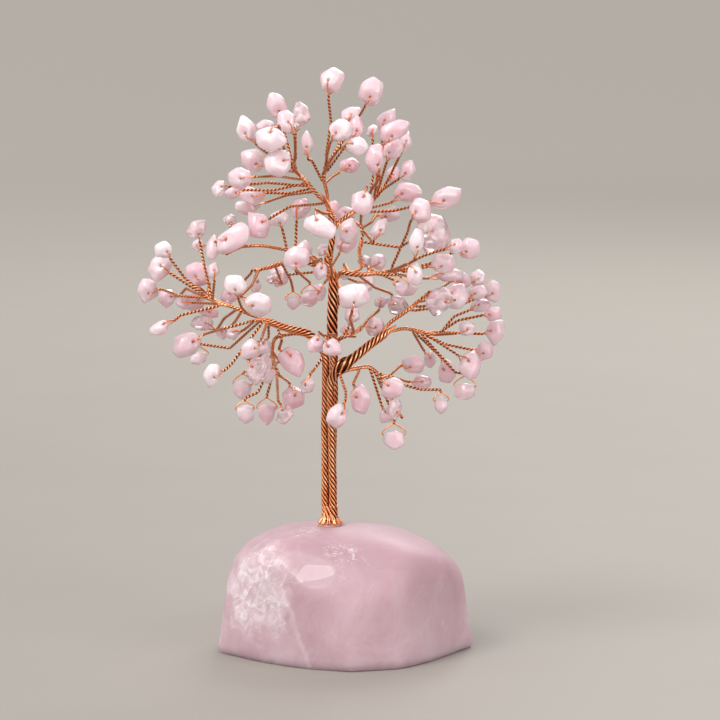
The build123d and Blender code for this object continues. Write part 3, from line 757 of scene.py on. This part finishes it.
def wire_piece(name, wires, nodes):
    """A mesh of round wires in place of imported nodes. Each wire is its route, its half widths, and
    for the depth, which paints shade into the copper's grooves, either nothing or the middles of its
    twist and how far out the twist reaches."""
    piece = new_object(name, tube_mesh(name, wires))
    corners = piece.data.vertices
    # depth drives the painted shade in the copper's grooves
    depth = piece.data.attributes.new("depth", "FLOAT", "POINT").data
    at = 0
    for route, halves, twist in wires:
        for i in range(len(route)):
            if twist and twist[0][i]:
                for k in range(at, at + ring_corners):
                    out = (corners[k].co - twist[0][i]).length
                    depth[k].value = min(1, max(0, (twist[1][i] - out) / (2 * halves[i])))
            at += ring_corners
    assert at == len(corners), (name, at, len(corners))
    cover(piece, copper)
    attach(piece, "ornament")
    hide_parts(*nodes)
    print(name, "has", len(wires), "wires and", len(corners), "corners")


# %% [markdown]
# ## Trunk and branches
# Each strand is a rope: a ring of wires wound round a core. Their number follows from its girth, with
# a little air between them. A branch doesn't start at the side of its parent as a peg would. Its
# wires come up inside the parent and peel away, so its route begins a few millimetres back along the
# parent, and every rope thins out just before its end.

# %% Measure the strands
strand_step = 0.5 * mm
deep_share = 0.12
skin_share = 0.3
strands = {}
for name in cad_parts:
    if name.startswith(("bundle_", "branch_")):
        strands[name] = relaxed(evenly(strand_route(name), strand_step), 6)
lengths = {name: round((len(route) - 1) * strand_step / mm) for name, route in strands.items()}
print("strands in mm:", lengths)


def peel_from(start, own, back):
    """Two points inside the nearest other strand, for a wire that leaves it at this start: one deep
    in it, this far back towards its root, and one beside the start, nearer to its skin."""
    best = None
    for name, route in strands.items():
        if name == own:
            continue
        i = min(range(len(route)), key=lambda k: (route[k].xyz - start).length)
        gap = (route[i].xyz - start).length - route[i].w
        if best is None or gap < best[0]:
            best = (gap, route, i)
    _, route, i = best
    behind = max(0, i - round(back / strand_step))
    return route[behind].xyz.lerp(start, deep_share), route[i].xyz.lerp(start, skin_share)


# %% Lay the strands
lay_step = 0.4 * mm
trunk_wire = 0.6 * mm
trunk_lay = math.radians(31)
branch_lay = math.radians(29)
branch_wire_share = 0.74
wire_room = 1.27
narrowest = 0.2 * mm
tip_length = 4.5 * mm
root_length = 3.5 * mm
closed_share = 0.1
thinnest_share = 0.35
first_side = Vector((0.3, -1, 0.2))


def rope_route(name):
    """The route of a strand's rope, and the half width that its wires are counted for."""
    route = strands[name][:-3]
    half = route[0].w
    if name.startswith("branch_"):
        start = route[0].xyz
        half = route[2].w
        back, _ = peel_from(start, name, 4.5 * mm)
        inside = [Vector((*back, half * 0.5)), Vector((*back.lerp(start, 0.45), half * 0.7))]
        route = inside + route
    return relaxed(evenly(route, lay_step), 12), half


def rope_wires(name):
    """The wires of a strand: a ring of them wound round a core."""
    route, half = rope_route(name)
    points = [point.xyz for point in route]
    last = len(route) - 1
    fullness = [min(1, closed_share + (last - i) * lay_step / tip_length) for i in range(last + 1)]
    wire, lay = trunk_wire, trunk_lay
    if name.startswith("branch_"):
        wire, lay = min(trunk_wire, half * branch_wire_share), branch_lay
        fullness = [min(full, closed_share + i * lay_step / root_length)
                    for i, full in enumerate(fullness)]
    full_radii = [max(narrowest, point.w - wire / 2) for point in route]
    radii = [radius * full for radius, full in zip(full_radii, fullness)]
    halves = [wire / 2 * (thinnest_share + (1 - thinnest_share) * full) for full in fullness]
    reaches = [radius + half_wire for radius, half_wire in zip(radii, halves)]
    angles = [0]
    for radius in full_radii[1:]:
        angles.append(angles[-1] + lay_step * math.tan(lay) / radius)
    sides = carried_sides(points, first_side)
    girth = 2 * math.pi * (half - wire / 2)
    count = max(4, round(girth / (wire * wire_room)))
    wires = []
    for k in range(count):
        winding = wound(points, sides, radii, angles, 2 * math.pi * k / count)
        wires.append((winding, halves, (points, reaches)))
    core = [max(radius - wire * 0.45, half_wire * 0.4) for radius, half_wire in zip(radii, halves)]
    wires.append((points, core, (points, reaches)))
    return wires


for name in strands:
    wire_piece(name + "_rope", rope_wires(name), [name])

# %% [markdown]
# ## The foot
# At the foot the outer wires end. They are cut, and pressed outwards over the bead of adhesive. Each
# packed run becomes two ends side by side, which start inside the trunk and bend over a knee. Noise
# lifts and spreads the cut ends unevenly.

# %% Splay the cut ends
up = Vector((0, 0, 1))
spread = 0.2 * mm
foot = merged_copy("foot_wires")
foot_wires = []
for k, solid in enumerate(solids_of(foot)):
    route, _ = run_route(solid)
    top, tip = sorted(route, key=lambda point: -point.z)
    outward = Vector((tip.x, tip.y, 0)).normalized()
    sideways = up.cross(outward)
    ragged = noise.noise(Vector((k * 1.7, 0.4, 0)))
    for way in (-1, 1):
        lean = sideways * way * spread
        above = outward * (1.1 * mm) - sideways * (1.5 * mm) + up * (top.z + 2.6 * mm)
        knee = outward * ((2.0 + 0.15 * ragged) * mm) + lean + up * (top.z - 0.7 * mm)
        cut_end = tip - outward * (tip.xy.length * 0.14) + lean * (1.2 + ragged)
        cut_end += up * ((0.1 + 0.5 * max(0, ragged)) * mm)
        end = relaxed(evenly([above, knee, cut_end], 0.3 * mm), 3)
        foot_wires.append((end, [wire_width / 2] * len(end), None))
foot.free()
wire_piece("foot_ends", foot_wires, ["foot_wires"])

# %% [markdown]
# ## Twigs and loops
# A twig is one piece of wire, folded: it goes up, opens into a loop that passes through the chip and
# comes back down, and the two legs are twisted together. So each twig is a single route here: up one
# side of the twist, round the loop and down the other side. The twist is counted back from the loop,
# so that both legs meet the loop where it begins.

# %% Twist the twigs
twist_step = 0.2 * mm
twist_pitch = 1.95 * mm
pair_half = 0.2 * mm
thinnest_stem = 0.5 * mm


def loop_curve(points):
    """A loop's corners cut three times, which leaves a smooth curve."""
    for _ in range(3):
        cut = [points[0]]
        for a, b in zip(points, points[1:]):
            cut += [a.lerp(b, 0.25), a.lerp(b, 0.75)]
        points = cut + [points[-1]]
    return points


def twig_wire(stem, loop):
    """One wire up a stem, round its loop and down again."""
    neck = (loop[0] + loop[-1]) / 2
    if (stem[0] - neck).length < (stem[-1] - neck).length:
        stem = stem[::-1]
    back, beside = peel_from(stem[0], None, 3 * mm)
    points = relaxed(evenly([back, beside, *stem, neck], twist_step), 8)[::-1]
    sides = carried_sides(points, (loop[0] - loop[-1]).normalized())
    radii = [pair_half] * len(points)
    angles = [2 * math.pi * i * twist_step / twist_pitch for i in range(len(points))]
    rising = wound(points, sides, radii, angles, 0)[::-1]
    falling = wound(points, sides, radii, angles, math.pi)
    open_part = loop_curve([rising[-1], *loop[1:-1], falling[0]])[1:-1]
    route = rising + open_part + falling
    middles = points[::-1] + [None] * len(open_part) + points
    halves = [pair_half if middle else wire_width / 2 for middle in middles]
    return route, halves, (middles, [2 * pair_half] * len(route))


for name in [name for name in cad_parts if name.startswith("twigs_")]:
    mesh = merged_copy(name)
    stems, loops = [], []
    for solid in solids_of(mesh):
        route, width = run_route(solid)
        (stems if width > thinnest_stem else loops).append(route)
    wires = []
    for loop in loops:
        neck = (loop[0] + loop[-1]) / 2
        stem = min(stems, key=lambda s: min((s[0] - neck).length, (s[-1] - neck).length))
        wires.append(twig_wire(stem, loop))
    mesh.free()
    wire_piece(name + "_pair", wires, [name])

# %% [markdown]
# ## Shaping a chip
# A packed chip is a pair of blunt pyramids with a bore. The rims of the bore are drawn in, because
# the hole hardly clears its wire, and otherwise only move along it. Wear draws the far corners in,
# noise dents each chip its own way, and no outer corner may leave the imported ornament's box.

# %% Helpers that shape a chip
bluntness = 0.2
dent_size = 2.8 * mm
dent_depth = 0.4


def middle_of(corners):
    """The average of some corners."""
    return sum((corner.co for corner in corners), Vector()) / len(corners)


def bore_corners(solid):
    """The corners of a chip that belong to its bore, whose walls face its own middle."""
    middle = middle_of(solid)
    walls = {face for corner in solid for face in corner.link_faces
             if face.normal.dot(face.calc_center_median() - middle) < 0}
    return {corner for face in walls for corner in face.verts}


def bore_way(bored):
    """The direction of a bore, which its longest edges have."""
    walls = [edge for corner in bored for edge in corner.link_edges
             if edge.other_vert(corner) in bored]
    along = max(walls, key=lambda edge: edge.calc_length())
    return (along.verts[1].co - along.verts[0].co).normalized()


def stretched(solid, bored, share, seed):
    """Moves corners out from the chip's middle, unevenly where there is a seed. The corners of the
    bore only move along it, so that it stays as narrow as it was."""
    middle = middle_of(solid)
    way = bore_way(bored)
    for corner in solid:
        away = corner.co - middle
        if corner in bored:
            corner.co += way * away.dot(way) * (share - 1)
        else:
            dent = noise.noise(corner.co / dent_size + Vector((seed, 0, 0))) if seed else 0
            corner.co = middle + away * share * (1 + dent_depth * dent)


def blunted(solid, bored):
    """Draws the far corners of a chip in and lets the near ones out, which leaves a pebble."""
    middle = middle_of(solid)
    outer = [corner for corner in solid if corner not in bored]
    usual = sum((corner.co - middle).length for corner in outer) / len(outer)
    for corner in outer:
        away = corner.co - middle
        corner.co = middle + away * (usual / away.length) ** bluntness


def narrowed(bored, share):
    """Draws each rim of a bore in towards its own middle."""
    way = bore_way(bored)
    ranked = sorted(bored, key=lambda corner: corner.co.dot(way))
    for rim in (ranked[:len(ranked) // 2], ranked[len(ranked) // 2:]):
        middle = middle_of(rim)
        for corner in rim:
            corner.co = middle.lerp(corner.co, share)


def held_in(solid, bored):
    """Keeps a chip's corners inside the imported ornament's box."""
    for corner in solid:
        if corner not in bored:
            for axis in range(3):
                low, high = packed_size[0][axis], packed_size[1][axis]
                corner.co[axis] = min(max(corner.co[axis], low), high)


def reach_of(points):
    """How far points reach along the three axes, added up."""
    return sum(max(p[axis] for p in points) - min(p[axis] for p in points) for axis in range(3))


# %% [markdown]
# ## Tumbled chips
# Tumbling wears every edge round, and so does a Subdivision Surface, once the triangles are joined in
# pairs. A light crease keeps something of the faces, and a stronger one stops the bore from turning
# into a funnel. The rounding also shrinks a chip, so it is measured when worn, and its corners are
# moved out by as much as it has lost. The chips that swing stay a little smaller than their solids,
# so that they clear the wires round them.

# %% Tumble the chips of a node
chip_crease = 0.38
bore_crease = 0.7
bore_share = 0.78
seed_step = 7.3
chip_growth = 1.06
hanging_growth = 0.93


def chip_piece(name, node, body, tints, clearnesses, growth):
    """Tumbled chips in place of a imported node."""
    mesh = merged_copy(node)
    mesh.normal_update()
    bmesh.ops.join_triangles(mesh, faces=mesh.faces, angle_face_threshold=math.radians(1),
                             angle_shape_threshold=math.pi)
    mesh.verts.index_update()
    tint = mesh.verts.layers.float.new("tint")
    clearness = mesh.verts.layers.float.new("clearness")
    crease = mesh.edges.layers.float.new("crease_edge")
    solids = solids_of(mesh)
    bores = [bore_corners(solid) for solid in solids]
    wanted = [reach_of([corner.co for corner in solid]) for solid in solids]
    for k, (solid, bored) in enumerate(zip(solids, bores)):
        blunted(solid, bored)
        narrowed(bored, bore_share)
        stretched(solid, bored, 1, k * seed_step + len(node))
        for corner in solid:
            corner[tint] = tints[k % len(tints)]
            corner[clearness] = clearnesses[k % len(clearnesses)]
            for edge in corner.link_edges:
                in_bore = edge.verts[0] in bored and edge.verts[1] in bored
                edge[crease] = bore_crease if in_bore else chip_crease
    data = bpy.data.meshes.new(name)
    mesh.to_mesh(data)
    piece = new_object(name, data)
    rounding = piece.modifiers.new("rounding", "SUBSURF")
    rounding.levels = rounding.render_levels = 2
    worn = piece.evaluated_get(bpy.context.evaluated_depsgraph_get()).data.vertices
    for solid, bored, reach in zip(solids, bores, wanted):
        left = reach_of([worn[corner.index].co for corner in solid])
        stretched(solid, bored, growth * reach / left, 0)
        held_in(solid, bored)
    mesh.to_mesh(data)
    mesh.free()
    cover(piece, chip_quartz)
    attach(piece, body)
    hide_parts(node)
    print(name, "has", len(solids), "chips")


# %% [markdown]
# ## Which chip is which
# One letter for each chip, in the order in which they stand in their spray: w is milky white, l pale,
# p pink, r a deeper rose, c clear, and g a little less clear and pinker. The chips that hang take
# turns between four tints and three degrees of clearness.

# %% Tint the chips
letter_tint = {"w": 0.22, "l": 0.4, "p": 0.55, "r": 0.75, "c": 0.3, "g": 0.35}
letter_clear = {"w": 0.05, "l": 0.22, "p": 0.2, "r": 0.2, "c": 0.8, "g": 0.6}
spray_letters = {
    "crown": "lllwpwlr",
    "top_left": "cllwlwlwlplll",
    "upper_right": "lpllpllpll",
    "mid_right": "lllplclwplwlll",
    "right_upper": "clplll",
    "right_outer": "lpllplll",
    "right_low": "lplclp",
    "centre": "wlpllclclpll",
    "mid_left": "lwplcllgw",
    "left_inner": "llplcw",
    "far_left": "glpwllllplp",
    "lower_left": "llwcpllw",
    "left_low": "clplpc",
    "rear": "lplwlp",
}
for spray, letters in spray_letters.items():
    node = "chips_" + spray
    tints = [letter_tint[letter] for letter in letters]
    clearnesses = [letter_clear[letter] for letter in letters]
    chip_piece(node + "_stones", node, "ornament", tints, clearnesses, chip_growth)

hanging = [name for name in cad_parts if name.startswith("hanging_chip_")]
for k, node in enumerate(hanging):
    tints = [0.3 + 0.08 * (k % 4)]
    clearnesses = [0.15 + 0.1 * (k % 3)]
    chip_piece(node + "_stone", node, node, tints, clearnesses, hanging_growth)

# %% [markdown]
# ## The base
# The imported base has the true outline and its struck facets. A voxel remesh lays an even grid of
# small faces over it, and smoothing wears its edges round. The drilled hole is left alone, and the
# rim of the sawn underside is only smoothed sideways. What stands proud of the struck face is cut
# flat. Then the skin moves out by a slow swell, which gives back what the smoothing took, and in
# where it is bruised.

# %% Helpers that break the base stone
grid_size = 0.75 * mm
wear_rounds = 110
rim_rounds = 12
sawn_height = 1.2 * mm
hole_edge = 4.2 * mm
rim_inside = 15 * mm


def bruise_at(point):
    """How crushed the skin is here, from 0 to 1."""
    away = point - bruise_middle
    far = Vector((away.x / bruise_reach.x, away.y / bruise_reach.y, away.z / bruise_reach.z)).length
    far += noise.noise(point / (6 * mm)) * 0.35
    return min(1, max(0, (1.15 - far) / 0.6))


def skin_depth(point):
    """How far the skin moves in, in millimetres. Outside the bruise it moves out, so this is below 0.
    It fades out towards the floor and the drilled hole, and the struck face stays flat."""
    if (point - struck_middle).dot(struck_facing) > -0.05 * mm:
        return 0
    low = min(1, point.z / (2 * mm))
    near_hole = min(1, max(0, (point.xy.length - 3.4 * mm) / (3 * mm)))
    swell = 0.5 + 0.5 * noise.noise(point / (11 * mm))
    ridge = 1 - abs(noise.noise(point / (4.5 * mm)))
    crush = 1 - abs(noise.noise(point / (1.7 * mm)))
    depth = 0.35 * swell + bruise_at(point) * (0.55 * ridge + 0.3 * crush) - 0.45
    return depth * low * near_hole


def smooth(mesh, corners, rounds, in_height):
    """Wears corners of a mesh round, in their height too or only sideways."""
    for _ in range(rounds):
        bmesh.ops.smooth_vert(mesh, verts=corners, factor=0.5, use_axis_x=True, use_axis_y=True,
                              use_axis_z=in_height)


# %% Break the base stone
def base_piece():
    """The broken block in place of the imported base."""
    block = new_object("base_block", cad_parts["base_stone"].data.copy())
    grid = block.modifiers.new("grid", "REMESH")
    grid.mode = "VOXEL"
    grid.voxel_size = grid_size
    remeshed = block.evaluated_get(bpy.context.evaluated_depsgraph_get())
    even = bpy.data.meshes.new_from_object(remeshed)
    block.modifiers.remove(grid)
    mesh = bmesh.new()
    mesh.from_mesh(even)
    skin = [corner for corner in mesh.verts
            if corner.co.z > sawn_height and corner.co.xy.length > hole_edge]
    smooth(mesh, skin, wear_rounds, True)
    rim = [corner for corner in mesh.verts
           if corner.co.z <= sawn_height and corner.co.xy.length > rim_inside]
    smooth(mesh, rim, rim_rounds, False)
    for corner in skin:
        proud = (corner.co - struck_middle).dot(struck_facing)
        if proud > 0:
            corner.co -= struck_facing * proud
    mesh.normal_update()
    moves = [corner.normal * (-skin_depth(corner.co) * mm) for corner in mesh.verts]
    for corner, move in zip(mesh.verts, moves):
        corner.co += move
        if corner.co.z < 0.2 * mm:
            corner.co.z = 0
    mesh.to_mesh(even)
    print("base faces", len(mesh.faces))
    mesh.free()
    block.data = even
    cover(block, base_quartz)
    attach(block, "ornament")
    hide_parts("base_stone")


base_piece()

# %% [markdown]
# ## The bead of adhesive
# A bead is a profile turned about the trunk: a spin of a few points makes it, and noise makes it a
# little uneven.

# %% Spin the bead
bead_height = 0.9 * mm
bead_steps = 48
bead_lump = 1.2 * mm
bead_waver = 0.05


def bead_piece():
    """The bead of adhesive round the trunk."""
    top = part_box("adhesive")[1].z
    edge_level = top - bead_height
    profile = [(0, top), (1.6, top), (2.15, top - 0.1 * mm), (2.6, top - 0.4 * mm),
               (2.95, edge_level + 0.15 * mm), (3.02, edge_level), (2.6, edge_level - 1.5 * mm)]
    mesh = bmesh.new()
    corners = [mesh.verts.new((x * mm, 0, z)) for x, z in profile]
    edges = [mesh.edges.new(pair) for pair in zip(corners, corners[1:])]
    bmesh.ops.spin(mesh, geom=corners + edges, cent=(0, 0, 0), axis=(0, 0, 1), dvec=(0, 0, 0),
                   angle=2 * math.pi, steps=bead_steps, use_merge=True, use_duplicate=False)
    bmesh.ops.remove_doubles(mesh, verts=mesh.verts, dist=0.001 * mm)
    bmesh.ops.recalc_face_normals(mesh, faces=mesh.faces)
    for corner in mesh.verts:
        out = Vector((corner.co.x, corner.co.y, 0))
        corner.co += out * bead_waver * noise.noise(corner.co / bead_lump)
    data = bpy.data.meshes.new("adhesive_bead")
    mesh.to_mesh(data)
    mesh.free()
    piece = new_object("adhesive_bead", data)
    cover(piece, adhesive)
    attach(piece, "ornament")
    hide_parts("adhesive")
    print("bead faces", len(data.polygons))


bead_piece()

# %% [markdown]
# ## The floor
# A backdrop that curves up far behind could be built, but a pale plane of eight metres fills the frame
# too. It is faintly mottled, and painted paler further back as painted light, as a lit backdrop is.

# %% Lay the floor
floor_reach = 4
near_floor = (0.29, 0.268, 0.243, 1)
near_mottle = (0.315, 0.291, 0.264, 1)
far_floor_painted_light = (0.40, 0.375, 0.34, 1)


def floor_piece():
    """A plain floor, which belongs to the stage."""
    floor = Finish("studio_floor")
    place = floor.add("TexCoord", output="Object")
    near = floor.mix(floor.noise(place, 60 * mm, 3), near_floor, near_mottle)
    # Painted light: the floor is painted paler further back.
    behind = floor.band(floor.add("SeparateXYZ", None, {0: place}, "Y"), 0.1, 1.5)
    shader = floor.add("BsdfPrincipled", None, {
        "Base Color": floor.mix(behind, near, far_floor_painted_light),
        "Roughness": 0.6,
    })
    mesh = bmesh.new()
    bmesh.ops.create_grid(mesh, x_segments=4, y_segments=4, size=floor_reach)
    data = bpy.data.meshes.new("floor")
    mesh.to_mesh(data)
    mesh.free()
    data.materials.append(floor.finish(shader))
    piece = new_object("floor", data)
    print("the floor reaches", floor_reach, "metres each way")


floor_piece()
